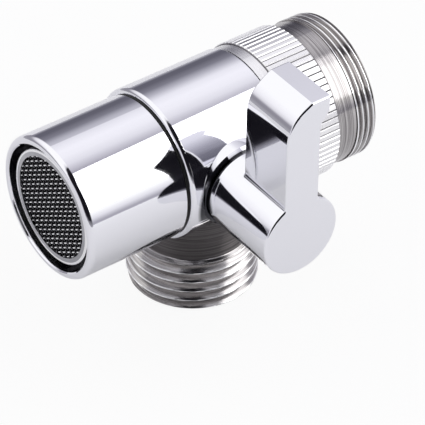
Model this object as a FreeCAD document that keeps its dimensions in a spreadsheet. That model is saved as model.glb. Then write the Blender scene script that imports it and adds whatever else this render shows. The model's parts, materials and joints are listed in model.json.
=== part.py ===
"""Tap diverter with an aerator: a chromed three-way valve that screws onto a spout.

Water enters the knurled swivel collar (+X), and the lever sends it either through the
aerator (-X) or down to the threaded outlet (-Z). All lengths are millimetres. Every piece
is drawn about the point where the barrel, outlet and stem axes cross, and then lifted so
that the outlet's end face lies on z = 0.
"""
import FreeCAD, Part

import math
import os

import Sketcher

SIZES = {
    # Valve body: barrel, and the height of its axis above the outlet's end face
    "axis_height": 25.1,
    "barrel_wall": 1.4,
    "barrel_front": 9.1,
    "barrel_rear": 8.9,
    "barrel_front_round": 0.7,
    "barrel_rear_round": 0.3,
    # Fits shared by every pair of pieces
    "running_clearance": 0.05,
    "thread_clearance": 0.05,
    "seat_clearance": 0.03,
    "loose_clearance": 0.3,
    # Waterways
    "port_radius": 2.7,
    "drill_cone": 2.0,
    "neck_wall": 3.5,
    "inlet_bore_floor": 8.0,
    "chamber_wall": 3.5,
    "chamber_floor": 8.6,
    "outlet_wall": 2.3,
    "outlet_bore_floor": 12.0,
    "mouth_chamfer": 0.3,
    # Outlet: shoulder, polished neck and G1/2 thread at its nominal crest
    "outlet_thread_radius": 10.4775,
    "outlet_thread_depth": 1.162,
    "outlet_thread_length": 9.4,
    "outlet_end_step": 0.58,
    "outlet_end_chamfer": 0.45,
    "shoulder_step": 0.6,
    "shoulder_drop": 11.2,
    "shoulder_round": 0.5,
    # Aerator spigot, M22 x 1 at its nominal crest
    "m22_radius": 11.0,
    "spigot_length": 8.1,
    "spigot_chamfer": 0.4,
    # Swivel neck behind the barrel, with a seal groove and a clip groove
    "swivel_neck_step": 2.0,
    "swivel_neck_length": 6.6,
    "neck_seal_offset": 0.8,
    "seal_groove_width": 1.5,
    "seal_groove_depth": 1.1,
    "clip_groove_depth": 0.75,
    "clip_stand": 1.2,
    "clip_thickness": 0.9,
    "clip_play": 0.1,
    "clip_gap_angle": 35.0,
    # Swivel collar
    "collar_gap": 0.15,
    "collar_lip": 2.85,
    "lead_wall": 1.2,
    "lead_length": 1.85,
    "knurl_wall": 1.5,
    "knurl_length": 8.3,
    "knurl_flutes": 72,
    "flute_depth": 0.25,
    "flute_width": 0.42,
    "knurl_chamfer": 0.35,
    "band_wall": 0.83,
    "band_length": 3.6,
    "m24_wall": 1.0,
    "m24_length": 3.7,
    "m24_end_chamfer": 0.3,
    "collar_relief": 0.2,
    "inlet_thread_length": 8.8,
    # Inlet washer
    "inlet_washer_width": 4.2,
    "inlet_washer_thickness": 2.0,
    # Diverter spool and its stem
    "spool_radius": 5.0,
    "rear_wall": 3.2,
    "spool_floor_gap": 0.2,
    "spool_seal_inset": 1.1,
    "stem_radius": 3.0,
    "stem_square_share": 1.4,
    "stem_seal_groove_depth": 0.9,
    "stem_seal_groove_width": 1.1,
    "stem_seal_inset": 1.1,
    # Rubber pad that shuts the port on the spool's closed side
    "pad_thickness": 0.9,
    "pad_half_length": 3.6,
    "pad_angle": 84.0,
    # Quarter-turn stop
    "stop_pin_radius": 0.7,
    "stop_pin_inset": 2.6,
    "stop_pin_reach": 1.3,
    "stop_pin_root": 1.8,
    "stop_slot_depth": 1.6,
    "stop_slot_clearance": 0.2,
    "stop_play_angle": 3.0,
    "lever_travel": 90.0,
    # Boss, gland nut and thrust washer
    "boss_wall": 1.7,
    "boss_stand": 0.1,
    "boss_chamfer": 0.4,
    "gland_step": 0.5,
    "gland_thread_length": 2.9,
    "gland_flange": 0.9,
    "gland_collar_length": 0.4,
    "gland_collar_round": 0.15,
    "thrust_washer_thickness": 0.6,
    "spanner_hole_radius": 0.6,
    "spanner_hole_inset": 2.2,
    "spanner_hole_depth": 1.2,
    # Handle: hub and lever in one casting
    "handle_gap": 0.15,
    "handle_depth": 14.15,
    "hub_radius": 6.75,
    "lever_inset": 3.85,
    "lever_half_width": 3.05,
    "lever_top": 24.45,
    "slant_drop": 2.4,
    "lever_shoulder_round": 6.0,
    "slant_top": 1.3,
    "beak_overhang": 1.55,
    "beak_depth": 2.85,
    "beak_rise": 1.7,
    "beak_root_round": 2.5,
    "beak_corner_round": 1.5,
    "hub_corner_round": 0.6,
    "handle_face_round": 0.35,
    "handle_back_round": 0.3,
    "handle_socket_depth": 8.3,
    "socket_end_gap": 0.3,
    # Grub screw under the hub
    "grub_radius": 1.5,
    "grub_length": 3.8,
    "grub_inset": 4.0,
    "grub_key_radius": 0.75,
    "grub_key_depth": 1.5,
    # Aerator sleeve
    "gasket_thickness": 0.35,
    "gasket_width": 0.55,
    "sleeve_wall": 0.7,
    "sleeve_length": 17.95,
    "sleeve_ledge": 0.6,
    "sleeve_rim_round": 0.9,
    "sleeve_mouth_chamfer": 0.2,
    "sleeve_rear_chamfer": 0.25,
    # Aerator cartridge
    "cartridge_washer_thickness": 1.7,
    "cartridge_washer_width": 3.3,
    "cage_flange_thickness": 1.8,
    "cage_step": 1.7,
    "cage_wall": 1.0,
    "cage_nose_step": 0.25,
    "cage_nose_share": 0.33,
    "cage_pocket_depth": 1.3,
    "cage_pocket_wall": 1.3,
    "air_slots": 8,
    "air_slot_width": 2.5,
    "air_slot_share": 0.4,
    "air_slot_inset_share": 0.17,
    "flow_disc_thickness": 0.9,
    "flow_hole_radius": 0.55,
    "inner_hole_orbit": 3.2,
    "inner_holes": 8,
    "outer_hole_orbit": 6.2,
    "outer_holes": 16,
    # Woven screens and the pressed ring that holds them
    "screen_thickness": 0.45,
    "screen_rim": 0.95,
    "mesh_pitch": 1.5,
    "mesh_wire": 0.45,
    "cap_wall": 0.4,
    "cap_width": 1.11,
    "cap_lip": 0.2,
    "cap_setback": 0.75,
    "cap_skirt_gap": 0.4,
}

HEXAGON = 6


class Size:
    """A length or an angle, held both as its number and as the expression that gives it."""

    def __init__(self, value, text):
        self.value = value
        self.text = text

    def __add__(self, other):
        other = as_size(other)
        return Size(self.value + other.value, f"({self.text} + {other.text})")

    __radd__ = __add__

    def __sub__(self, other):
        other = as_size(other)
        return Size(self.value - other.value, f"({self.text} - {other.text})")

    def __rsub__(self, other):
        return as_size(other) - self

    def __mul__(self, other):
        other = as_size(other)
        return Size(self.value * other.value, f"({self.text} * {other.text})")

    __rmul__ = __mul__

    def __truediv__(self, other):
        other = as_size(other)
        return Size(self.value / other.value, f"({self.text} / {other.text})")

    def __neg__(self):
        return Size(-self.value, f"(0 - {self.text})")


def as_size(number):
    """Plain numbers join in sums with sizes."""
    if isinstance(number, Size):
        return number
    return Size(float(number), str(number))


def make_sheet(document):
    """Write the driving dimensions to the sheet, one aliased cell each."""
    sheet = document.addObject("Spreadsheet::Sheet", "sizes")
    for row, (name, value) in enumerate(SIZES.items(), start=1):
        sheet.set(f"A{row}", name)
        sheet.set(f"B{row}", str(value))
        sheet.setAlias(f"B{row}", name)
    document.recompute()
    return sheet


class Sheet:
    """The sheet's cells by name, as sizes: barrel_radius is a number and its expression."""

    def __getattr__(self, name):
        return Size(float(SIZES[name]), f"sizes.{name}")


doc = FreeCAD.newDocument("tap_diverter")
make_sheet(doc)
S = Sheet()

# Radii about the barrel's axis, stepped out or in from the M22 thread
barrel_radius = S.m22_radius + S.barrel_wall
spigot_radius = S.m22_radius - S.thread_clearance
chamber_radius = S.m22_radius - S.chamber_wall
swivel_neck_radius = S.m22_radius - S.swivel_neck_step
swivel_bore = swivel_neck_radius + S.running_clearance
inlet_bore_radius = swivel_neck_radius - S.neck_wall
neck_seal_floor = swivel_neck_radius - S.seal_groove_depth
clip_floor = swivel_neck_radius - S.clip_groove_depth
clip_radius = swivel_neck_radius + S.clip_stand
lead_radius = S.m22_radius + S.lead_wall
knurl_radius = S.m22_radius + S.knurl_wall
band_radius = S.m22_radius + S.band_wall
m24_radius = S.m22_radius + S.m24_wall
collar_relief_radius = S.m22_radius + S.collar_relief
inlet_washer_radius = S.m22_radius - S.loose_clearance
gasket_radius = S.m22_radius + S.gasket_width
sleeve_radius = S.m22_radius + S.sleeve_wall
sleeve_mouth_radius = S.m22_radius - S.sleeve_ledge
flange_radius = S.m22_radius - 2 * S.thread_clearance
cage_radius = S.m22_radius - S.cage_step
cage_bore = cage_radius - S.cage_wall
cage_nose_radius = cage_radius - S.cage_nose_step
cage_pocket_radius = flange_radius - S.cage_pocket_wall
screen_radius = cage_nose_radius - S.seat_clearance
cap_radius = cage_nose_radius + S.cap_wall
cap_opening = cap_radius - S.cap_width

# Radii about the outlet's axis, stepped in from the G1/2 thread
outlet_neck_radius = S.outlet_thread_radius - S.outlet_thread_depth
outlet_shoulder_radius = outlet_neck_radius + S.shoulder_step
outlet_bore_radius = outlet_neck_radius - S.outlet_wall
outlet_end_radius = S.outlet_thread_radius - S.outlet_end_step

# Radii about the stem's axis, stepped out or in from the spool
spool_bore = S.spool_radius + S.running_clearance
spool_seal_floor = S.spool_radius - S.seal_groove_depth
stop_pin_orbit = S.spool_radius - S.stop_pin_inset
stem_bore = S.stem_radius + S.running_clearance
stem_seal_floor = S.stem_radius - S.stem_seal_groove_depth
stem_square = S.stem_radius * S.stem_square_share
gland_thread_radius = S.spool_radius + S.gland_step
gland_collar_radius = gland_thread_radius + S.gland_flange
boss_radius = gland_thread_radius + S.boss_wall
spanner_hole_orbit = gland_collar_radius - S.spanner_hole_inset

# Stations along the barrel, +X towards the inlet
barrel_front_x = -S.barrel_front
spigot_end_x = barrel_front_x - S.spigot_length
neck_end_x = S.barrel_rear + S.swivel_neck_length
collar_rear_x = S.barrel_rear + S.collar_gap
lip_end_x = collar_rear_x + S.collar_lip
clip_start_x = lip_end_x + S.clip_play
knurl_start_x = collar_rear_x + S.lead_length
knurl_end_x = knurl_start_x + S.knurl_length
band_end_x = knurl_end_x + S.band_length
collar_end_x = band_end_x + S.m24_length
inlet_thread_x = collar_end_x - S.inlet_thread_length
sleeve_rear_x = barrel_front_x - S.gasket_thickness
sleeve_rim_x = sleeve_rear_x - S.sleeve_length
cartridge_x = spigot_end_x - S.cartridge_washer_thickness
ledge_x = cartridge_x - S.cage_flange_thickness
cap_front_x = sleeve_rim_x + S.cap_setback
screen_front_x = cap_front_x + S.cap_lip
cage_end_x = screen_front_x + 3 * S.screen_thickness
nose_start_x = cage_end_x + (ledge_x - cage_end_x) * S.cage_nose_share

# Stations along the stem, -Y towards the lever
bore_floor_y = barrel_radius - S.rear_wall
spool_rear_y = bore_floor_y - S.spool_floor_gap
boss_front_y = -(barrel_radius + S.boss_stand)
gland_rear_y = boss_front_y + S.gland_thread_length
washer_front_y = gland_rear_y + S.running_clearance
spool_front_y = washer_front_y + S.thrust_washer_thickness + S.running_clearance
gland_front_y = boss_front_y - S.gland_collar_length
handle_back_y = gland_front_y - S.handle_gap
lever_back_y = handle_back_y - S.lever_inset
handle_front_y = handle_back_y - S.handle_depth
square_start_y = gland_front_y - S.handle_gap / 2
stem_end_y = handle_back_y - S.handle_socket_depth + S.socket_end_gap

# Stations down the outlet
outlet_end_z = -S.axis_height
outlet_thread_z = outlet_end_z + S.outlet_thread_length

made = []


def new_body(label):
    """A piece drawn about the crossing of the axes and lifted to stand on the outlet."""
    body = doc.addObject("PartDesign::Body", label)
    body.Label = label
    body.setExpression("Placement.Base.z", S.axis_height.text)
    made.append(body)
    return body


def new_sketch(body, plane, offset=None):
    """A sketch on one of the body's own origin planes, moved along its normal by offset."""
    sketch = body.newObject("Sketcher::SketchObject", body.Label + "_sketch")
    support = [f for f in body.Origin.OriginFeatures if f.Role == plane][0]
    sketch.AttachmentSupport = [(support, "")]
    sketch.MapMode = "FlatFace"
    if offset is not None:
        sketch.setExpression("AttachmentOffset.Base.z", offset.text)
    return sketch


def tie(sketch, geometry, vertex, x, y):
    """Hold one point of a sketch at sheet-driven coordinates."""
    for kind, axis, place in (("DistanceX", -2, as_size(x)), ("DistanceY", -1, as_size(y))):
        if place.value == 0:
            sketch.addConstraint(Sketcher.Constraint("PointOnObject", geometry, vertex, axis))
            continue
        held = Sketcher.Constraint(kind, -1, 1, geometry, vertex, place.value)
        drive(sketch, sketch.addConstraint(held), place)


def drive(sketch, constraint, size):
    """Name a dimension of a sketch and drive it from the sheet."""
    name = f"d{constraint}"
    sketch.renameConstraint(constraint, name)
    sketch.setExpression("Constraints." + name, size.text)


def circle(sketch, x, y, radius):
    """A sheet-driven circle."""
    x, y, radius = as_size(x), as_size(y), as_size(radius)
    centre = FreeCAD.Vector(x.value, y.value, 0)
    geometry = sketch.addGeometry(Part.Circle(centre, FreeCAD.Vector(0, 0, 1), radius.value))
    tie(sketch, geometry, 3, x, y)
    drive(sketch, sketch.addConstraint(Sketcher.Constraint("Radius", geometry, radius.value)), radius)


def rounded_corner(before, corner, after, radius):
    """Where a corner's arc starts and ends, its centre, and whether it turns left."""
    to_before = (before - corner).normalize()
    to_after = (after - corner).normalize()
    half = to_before.getAngle(to_after) / 2
    reach = radius / math.tan(half)
    middle = (to_before + to_after).normalize()
    centre = corner + middle * (radius / math.sin(half))
    turn = (corner - before).cross(after - corner).z
    return corner + to_before * reach, corner + to_after * reach, centre, turn > 0


def outline(sketch, corners):
    """A closed outline; a corner is (x, y), or (x, y, radius) where it is rounded."""
    count = len(corners)
    spots = [FreeCAD.Vector(as_size(c[0]).value, as_size(c[1]).value, 0) for c in corners]
    ends = []
    for i, corner in enumerate(corners):
        if len(corner) == 2:
            ends.append((spots[i], spots[i], None, True))
            continue
        ends.append(rounded_corner(spots[i - 1], spots[i], spots[(i + 1) % count],
                                   as_size(corner[2]).value))
    sides = [
        sketch.addGeometry(Part.LineSegment(ends[i][1], ends[(i + 1) % count][0]))
        for i in range(count)
    ]
    for i, corner in enumerate(corners):
        side_in, side_out = sides[i - 1], sides[i]
        if len(corner) == 2:
            sketch.addConstraint(Sketcher.Constraint("Coincident", side_in, 2, side_out, 1))
            tie(sketch, side_out, 1, corner[0], corner[1])
            continue
        start, stop, centre, left = ends[i]
        radius = as_size(corner[2])
        first, last = (start, stop) if left else (stop, start)
        angles = [math.atan2(p.y - centre.y, p.x - centre.x) for p in (first, last)]
        whole = Part.Circle(centre, FreeCAD.Vector(0, 0, 1), radius.value)
        arc = sketch.addGeometry(Part.ArcOfCircle(whole, angles[0], angles[1]))
        near, far = (1, 2) if left else (2, 1)
        sketch.addConstraint(Sketcher.Constraint("Tangent", side_in, 2, arc, near))
        sketch.addConstraint(Sketcher.Constraint("Tangent", arc, far, side_out, 1))
        drive(sketch, sketch.addConstraint(Sketcher.Constraint("Radius", arc, radius.value)), radius)
        virtual = sketch.addGeometry(Part.Point(spots[i]), True)
        tie(sketch, virtual, 1, corner[0], corner[1])
        for side in (side_in, side_out):
            sketch.addConstraint(Sketcher.Constraint("PointOnObject", virtual, 1, side))


TURNING_PLANE = {"X": ("XZ_Plane", "H_Axis"), "Y": ("YZ_Plane", "H_Axis"), "Z": ("XZ_Plane", "V_Axis")}


def turned(body, axis, corners, cut=False, angle=None):
    """Revolve a half-profile of (station, radius) corners about the X, Y or Z axis."""
    plane, line = TURNING_PLANE[axis]
    sketch = new_sketch(body, plane)
    if axis == "Z":
        corners = [(c[1], c[0]) + tuple(c[2:]) for c in corners]
    outline(sketch, corners)
    kind = "PartDesign::Groove" if cut else "PartDesign::Revolution"
    feature = body.newObject(kind, body.Label + ("_groove" if cut else "_turning"))
    feature.Profile = sketch
    feature.ReferenceAxis = (sketch, [line])
    if angle is None:
        feature.Angle = 360
    else:
        feature.Midplane = True
        feature.setExpression("Angle", as_size(angle).text)
    sketch.Visibility = False
    return feature


def extruded(body, sketch, depth, cut=False, against=False, both_ways=False):
    """Pad or pocket a sketch along its normal, or against it."""
    kind = "PartDesign::Pocket" if cut else "PartDesign::Pad"
    feature = body.newObject(kind, body.Label + ("_pocket" if cut else "_pad"))
    feature.Profile = sketch
    feature.setExpression("Length", as_size(depth).text)
    feature.Midplane = both_ways
    feature.Reversed = (not against) if cut else against
    return feature


def repeated(body, feature, axis, count):
    """Repeat a feature evenly round one of the body's own axes."""
    pattern = body.newObject("PartDesign::PolarPattern", body.Label + "_pattern")
    pattern.Originals = [feature]
    line = [f for f in body.Origin.OriginFeatures if f.Role == axis + "_Axis"][0]
    pattern.Axis = (line, [""])
    pattern.Angle = 360
    pattern.setExpression("Occurrences", count.text)
    body.Tip = pattern
    return pattern


def bore(body, axis, radius, start, end):
    """Turn out a plain hole between two stations of an axis."""
    return turned(body, axis, [(start, 0), (start, radius), (end, radius), (end, 0)], cut=True)


def ring(label, axis, inner, outer, start, end):
    """A plain turned ring, such as a washer."""
    body = new_body(label)
    turned(body, axis, [(start, inner), (start, outer), (end, outer), (end, inner)])
    return body


def seal(label, axis, floor, outer, middle):
    """An O-ring squeezed between its groove's floor and the bore outside it."""
    floor = floor + S.seat_clearance
    torus = doc.addObject("Part::Torus", label)
    torus.Label = label
    torus.setExpression("Radius1", ((floor + outer) / 2).text)
    torus.setExpression("Radius2", ((outer - floor) / 2).text)
    lying = {"X": FreeCAD.Rotation(FreeCAD.Vector(0, 1, 0), 90),
             "Y": FreeCAD.Rotation(FreeCAD.Vector(1, 0, 0), 90)}
    torus.Placement = FreeCAD.Placement(FreeCAD.Vector(0, 0, 0), lying[axis])
    torus.setExpression("Placement.Base." + axis.lower(), middle.text)
    torus.setExpression("Placement.Base.z", S.axis_height.text)
    made.append(torus)
    return torus


def edges_where(feature, chosen):
    """Names of the feature's edges that a test picks."""
    doc.recompute()
    edges = feature.Shape.Edges
    return [f"Edge{i}" for i, edge in enumerate(edges, start=1) if chosen(edge)]


def rounded(body, feature, radius, chosen):
    """Fillet the chosen edges of a feature."""
    fillet = body.newObject("PartDesign::Fillet", body.Label + "_fillet")
    fillet.Base = (feature, edges_where(feature, chosen))
    fillet.setExpression("Radius", radius.text)
    return fillet


def valve_body():
    """Cast and machined brass: barrel, spigot, swivel neck, outlet and valve boss in one."""
    body = new_body("valve_body")
    turned(body, "X", [
        (spigot_end_x, 0),
        (spigot_end_x, spigot_radius - S.spigot_chamfer),
        (spigot_end_x + S.spigot_chamfer, spigot_radius),
        (barrel_front_x, spigot_radius),
        (barrel_front_x, barrel_radius, S.barrel_front_round),
        (S.barrel_rear, barrel_radius, S.barrel_rear_round),
        (S.barrel_rear, swivel_neck_radius),
        (neck_end_x, swivel_neck_radius),
        (neck_end_x, 0),
    ])
    turned(body, "Y", [
        (0, 0), (0, boss_radius), (boss_front_y + S.boss_chamfer, boss_radius),
        (boss_front_y, boss_radius - S.boss_chamfer), (boss_front_y, 0),
    ])
    turned(body, "Z", [
        (0, 0),
        (0, outlet_shoulder_radius),
        (-S.shoulder_drop, outlet_shoulder_radius, S.shoulder_round),
        (-S.shoulder_drop, outlet_neck_radius),
        (outlet_thread_z, outlet_neck_radius),
        (outlet_thread_z - S.outlet_thread_depth / 2, S.outlet_thread_radius),
        (outlet_end_z + S.outlet_end_chamfer, S.outlet_thread_radius),
        (outlet_end_z, outlet_end_radius),
        (outlet_end_z, 0),
    ])
    faced(body, barrel_front_x, -S.outlet_thread_radius, spigot_radius)
    faced(body, S.barrel_rear, S.outlet_thread_radius, swivel_neck_radius)
    seal_x = S.barrel_rear + S.neck_seal_offset
    neck_groove(body, seal_x, seal_x + S.seal_groove_width, neck_seal_floor)
    clip_end_x = clip_start_x + S.clip_thickness + S.seat_clearance
    neck_groove(body, clip_start_x - S.seat_clearance, clip_end_x, clip_floor)
    drilled(body, "X", spigot_end_x, -S.chamber_floor, chamber_radius, 1)
    drilled(body, "X", neck_end_x, S.inlet_bore_floor, inlet_bore_radius, -1)
    drilled(body, "Z", outlet_end_z, -S.outlet_bore_floor, outlet_bore_radius, 1)
    bore(body, "Y", spool_bore, bore_floor_y, gland_rear_y)
    bore(body, "Y", gland_thread_radius, gland_rear_y, boss_front_y)
    pin_hole(body)
    return body


def faced(body, face_x, far_x, inner):
    """Face the barrel's end flat, so that the wider outlet shoulder clears what turns beside it."""
    outer = knurl_radius + S.loose_clearance
    return turned(body, "X", [(face_x, inner), (face_x, outer), (far_x, outer), (far_x, inner)], cut=True)


def neck_groove(body, start, end, floor):
    """A square groove round the swivel neck."""
    outer = swivel_bore
    return turned(body, "X", [(start, floor), (start, outer), (end, outer), (end, floor)], cut=True)


def drilled(body, axis, mouth, floor, radius, inward):
    """A wide bore from its mouth, a drill cone, and a narrow port on to the spool."""
    return turned(body, axis, [
        (mouth, 0),
        (mouth, radius + S.mouth_chamfer),
        (mouth + inward * S.mouth_chamfer, radius),
        (floor, radius),
        (floor + inward * S.drill_cone, S.port_radius),
        (0, S.port_radius),
        (0, 0),
    ], cut=True)


def pin_place():
    """The stop pin's place across the stem axis, an eighth of a turn from straight up."""
    return stop_pin_orbit * math.sqrt(0.5)


def pin_hole(body):
    """The blind hole in the bore's floor that holds the stop pin."""
    sketch = new_sketch(body, "XZ_Plane", -bore_floor_y)
    circle(sketch, pin_place(), pin_place(), S.stop_pin_radius)
    extruded(body, sketch, S.stop_pin_root, cut=True, against=True)


def stop_pin():
    """A steel pin pressed into the bore's floor: it stops the spool at each quarter turn."""
    body = new_body("stop_pin")
    sketch = new_sketch(body, "XZ_Plane", -bore_floor_y)
    circle(sketch, pin_place(), pin_place(), S.stop_pin_radius - S.seat_clearance)
    extruded(body, sketch, S.stop_pin_root - S.seat_clearance, against=True)
    second = new_sketch(body, "XZ_Plane", -bore_floor_y)
    circle(second, pin_place(), pin_place(), S.stop_pin_radius - S.seat_clearance)
    extruded(body, second, S.stop_pin_reach)


def swivel_collar():
    """The knurled ring that turns on the neck: M24 outside and M22 inside, one turned piece."""
    body = new_body("swivel_collar")
    turned(body, "X", [
        (collar_rear_x, swivel_bore),
        (collar_rear_x, lead_radius),
        (knurl_start_x, lead_radius),
        (knurl_start_x, knurl_radius - S.knurl_chamfer),
        (knurl_start_x + S.knurl_chamfer, knurl_radius),
        (knurl_end_x - S.knurl_chamfer, knurl_radius),
        (knurl_end_x, knurl_radius - S.knurl_chamfer),
        (knurl_end_x, band_radius),
        (band_end_x, band_radius),
        (band_end_x, m24_radius),
        (collar_end_x - S.m24_end_chamfer, m24_radius),
        (collar_end_x, m24_radius - S.m24_end_chamfer),
        (collar_end_x, S.m22_radius),
        (inlet_thread_x, S.m22_radius),
        (inlet_thread_x, collar_relief_radius),
        (lip_end_x, collar_relief_radius),
        (lip_end_x, swivel_bore),
    ])
    sketch = new_sketch(body, "YZ_Plane", knurl_start_x)
    past_crest = knurl_radius + S.flute_depth
    outline(sketch, [
        (knurl_radius - S.flute_depth, 0),
        (past_crest, -S.flute_width),
        (past_crest, S.flute_width),
    ])
    flute = extruded(body, sketch, S.knurl_length, cut=True)
    repeated(body, flute, "X", S.knurl_flutes)
    return body


def collar_clip():
    """A split spring ring in the neck's outer groove: it keeps the collar on."""
    body = new_body("collar_clip")
    end_x = clip_start_x + S.clip_thickness
    floor = clip_floor + S.seat_clearance
    turned(body, "X", [
        (clip_start_x, floor), (clip_start_x, clip_radius), (end_x, clip_radius), (end_x, floor),
    ], angle=360 - S.clip_gap_angle)
    return body


def seal_profile_middle(start):
    """The middle of a seal groove that starts at a station."""
    return start + S.seal_groove_width / 2


def diverter_spool():
    """Turned brass plug with a T-shaped waterway, a closed side, and a square-ended stem."""
    body = new_body("diverter_spool")
    rear_groove = spool_rear_y - S.spool_seal_inset
    front_groove = spool_front_y + S.spool_seal_inset
    stem_groove = gland_rear_y - S.stem_seal_inset
    turned(body, "Y", [
        (spool_rear_y, 0),
        (spool_rear_y, S.spool_radius),
        (rear_groove, S.spool_radius),
        (rear_groove, spool_seal_floor),
        (rear_groove - S.seal_groove_width, spool_seal_floor),
        (rear_groove - S.seal_groove_width, S.spool_radius),
        (front_groove + S.seal_groove_width, S.spool_radius),
        (front_groove + S.seal_groove_width, spool_seal_floor),
        (front_groove, spool_seal_floor),
        (front_groove, S.spool_radius),
        (spool_front_y, S.spool_radius),
        (spool_front_y, S.stem_radius),
        (stem_groove, S.stem_radius),
        (stem_groove, stem_seal_floor),
        (stem_groove - S.stem_seal_groove_width, stem_seal_floor),
        (stem_groove - S.stem_seal_groove_width, S.stem_radius),
        (square_start_y, S.stem_radius),
        (square_start_y, 0),
    ])
    square = new_sketch(body, "XZ_Plane", -square_start_y)
    square_outline(square, stem_square / 2)
    extruded(body, square, square_start_y - stem_end_y)
    bore(body, "X", S.port_radius, -(S.spool_radius + S.running_clearance), spool_bore)
    bore(body, "Z", S.port_radius, 0, spool_bore)
    pad_recess(body, "cut", S.seat_clearance)
    slot_angle = S.lever_travel + 2 * pin_half_angle() + 2 * S.stop_play_angle
    slot_half = S.stop_pin_radius + S.stop_slot_clearance
    slot_floor = spool_rear_y - S.stop_slot_depth
    turned(body, "Y", [
        (slot_floor, stop_pin_orbit - slot_half),
        (slot_floor, stop_pin_orbit + slot_half),
        (bore_floor_y, stop_pin_orbit + slot_half),
        (bore_floor_y, stop_pin_orbit - slot_half),
    ], cut=True, angle=slot_angle)
    return body


def pin_half_angle():
    """Half the angle that the stop pin takes up at its orbit, in degrees."""
    share = S.stop_pin_radius / stop_pin_orbit
    return Size(math.degrees(math.asin(share.value)), f"(asin({share.text}) / 1 deg)")


def square_outline(sketch, half):
    """A square centred on the sketch's origin."""
    outline(sketch, [(-half, -half), (half, -half), (half, half), (-half, half)])


def pad_recess(body, kind, clearance):
    """The curved patch on the spool's closed side, as a recess or as the rubber that fills it."""
    floor = S.spool_radius - S.pad_thickness
    outer = S.spool_radius
    if kind == "cut":
        outer = outer + S.running_clearance
    half = S.pad_half_length + clearance
    return turned(body, "Y", [
        (-half, -floor + clearance), (-half, -outer), (half, -outer), (half, -floor + clearance),
    ], cut=kind == "cut", angle=S.pad_angle)


def shutoff_pad():
    """Moulded rubber patch that covers whichever port the spool closes."""
    body = new_body("shutoff_pad")
    pad_recess(body, "fill", as_size(0))
    return body


def gland_nut():
    """Screwed into the boss over the stem: it holds the spool in and shows as a bright ring."""
    body = new_body("gland_nut")
    thread = gland_thread_radius - S.thread_clearance
    turned(body, "Y", [
        (gland_rear_y, stem_bore),
        (gland_rear_y, thread),
        (boss_front_y, thread),
        (boss_front_y, gland_collar_radius),
        (gland_front_y, gland_collar_radius, S.gland_collar_round),
        (gland_front_y, stem_bore),
    ])
    sketch = new_sketch(body, "XZ_Plane", -gland_front_y)
    circle(sketch, spanner_hole_orbit, 0, S.spanner_hole_radius)
    hole = extruded(body, sketch, S.spanner_hole_depth, cut=True, against=True)
    repeated(body, hole, "Y", as_size(2))
    return body


def handle():
    """Cast hub and lever in one piece: a deep bar with a bowed slant on top and a beaked edge."""
    body = new_body("handle")
    hub = new_sketch(body, "XZ_Plane", -handle_back_y)
    circle(hub, 0, 0, S.hub_radius)
    extruded(body, hub, S.handle_depth)
    bar = new_sketch(body, "XZ_Plane", -lever_back_y)
    half = S.lever_half_width
    outline(bar, [
        (-half, 0),
        (half, 0),
        (half, S.lever_top - S.beak_depth - S.beak_rise, S.beak_root_round),
        (half + S.beak_overhang, S.lever_top - S.beak_depth, S.beak_corner_round),
        (half + S.beak_overhang, S.lever_top),
        (S.slant_top, S.lever_top),
        (-half, S.lever_top - S.slant_drop, S.lever_shoulder_round),
    ])
    whole = extruded(body, bar, S.handle_depth - S.lever_inset)
    corner_z = math.sqrt(S.hub_radius.value ** 2 - half.value ** 2)
    tip = rounded(body, whole, S.handle_back_round, lambda e: is_lever_back(e, corner_z))
    tip = rounded(body, tip, S.hub_corner_round, lambda e: is_hub_corner(e, half.value, corner_z))
    tip = rounded(body, tip, S.handle_face_round, lambda e: lies_at_y(e, handle_front_y.value))
    rounded(body, tip, S.handle_back_round, lambda e: lies_at_y(e, handle_back_y.value))
    socket = new_sketch(body, "XZ_Plane", -handle_back_y)
    square_outline(socket, stem_square / 2 + S.seat_clearance)
    extruded(body, socket, S.handle_socket_depth, cut=True)
    screw_hole = new_sketch(body, "XY_Plane")
    circle(screw_hole, 0, handle_back_y - S.grub_inset, S.grub_radius)
    extruded(body, screw_hole, S.hub_radius, cut=True, against=True)
    return body


def is_hub_corner(edge, half, corner_z):
    """The two edges along the stem where the bar leaves the round hub."""
    middle = edge.CenterOfMass
    beside = abs(abs(middle.x) - half) < 1e-3 and abs(middle.z - corner_z) < 1e-3
    return beside and len(edge.Vertexes) == 2


def is_lever_back(edge, above_z):
    """Edges round the back of the bar, clear of the hub."""
    return lies_at_y(edge, lever_back_y.value) and edge.CenterOfMass.z > above_z + 0.6


def lies_at_y(edge, y):
    """Edges that lie wholly in a plane across the stem."""
    return all(abs(v.Y - y) < 1e-4 for v in edge.Vertexes) and abs(edge.CenterOfMass.y - y) < 1e-4


def handle_screw():
    """Grub screw under the hub: it bears on the stem's square."""
    body = new_body("handle_screw")
    y = handle_back_y - S.grub_inset
    tip = stem_square / 2 + S.seat_clearance
    shank = new_sketch(body, "XY_Plane", -tip)
    circle(shank, 0, y, S.grub_radius - S.thread_clearance)
    extruded(body, shank, S.grub_length, against=True)
    key = new_sketch(body, "XY_Plane", -(tip + S.grub_length))
    corners = [math.radians(360 / HEXAGON * i) for i in range(HEXAGON)]
    outline(key, [(S.grub_key_radius * math.cos(a), y + S.grub_key_radius * math.sin(a)) for a in corners])
    extruded(body, key, S.grub_key_depth, cut=True)
    return body


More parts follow.
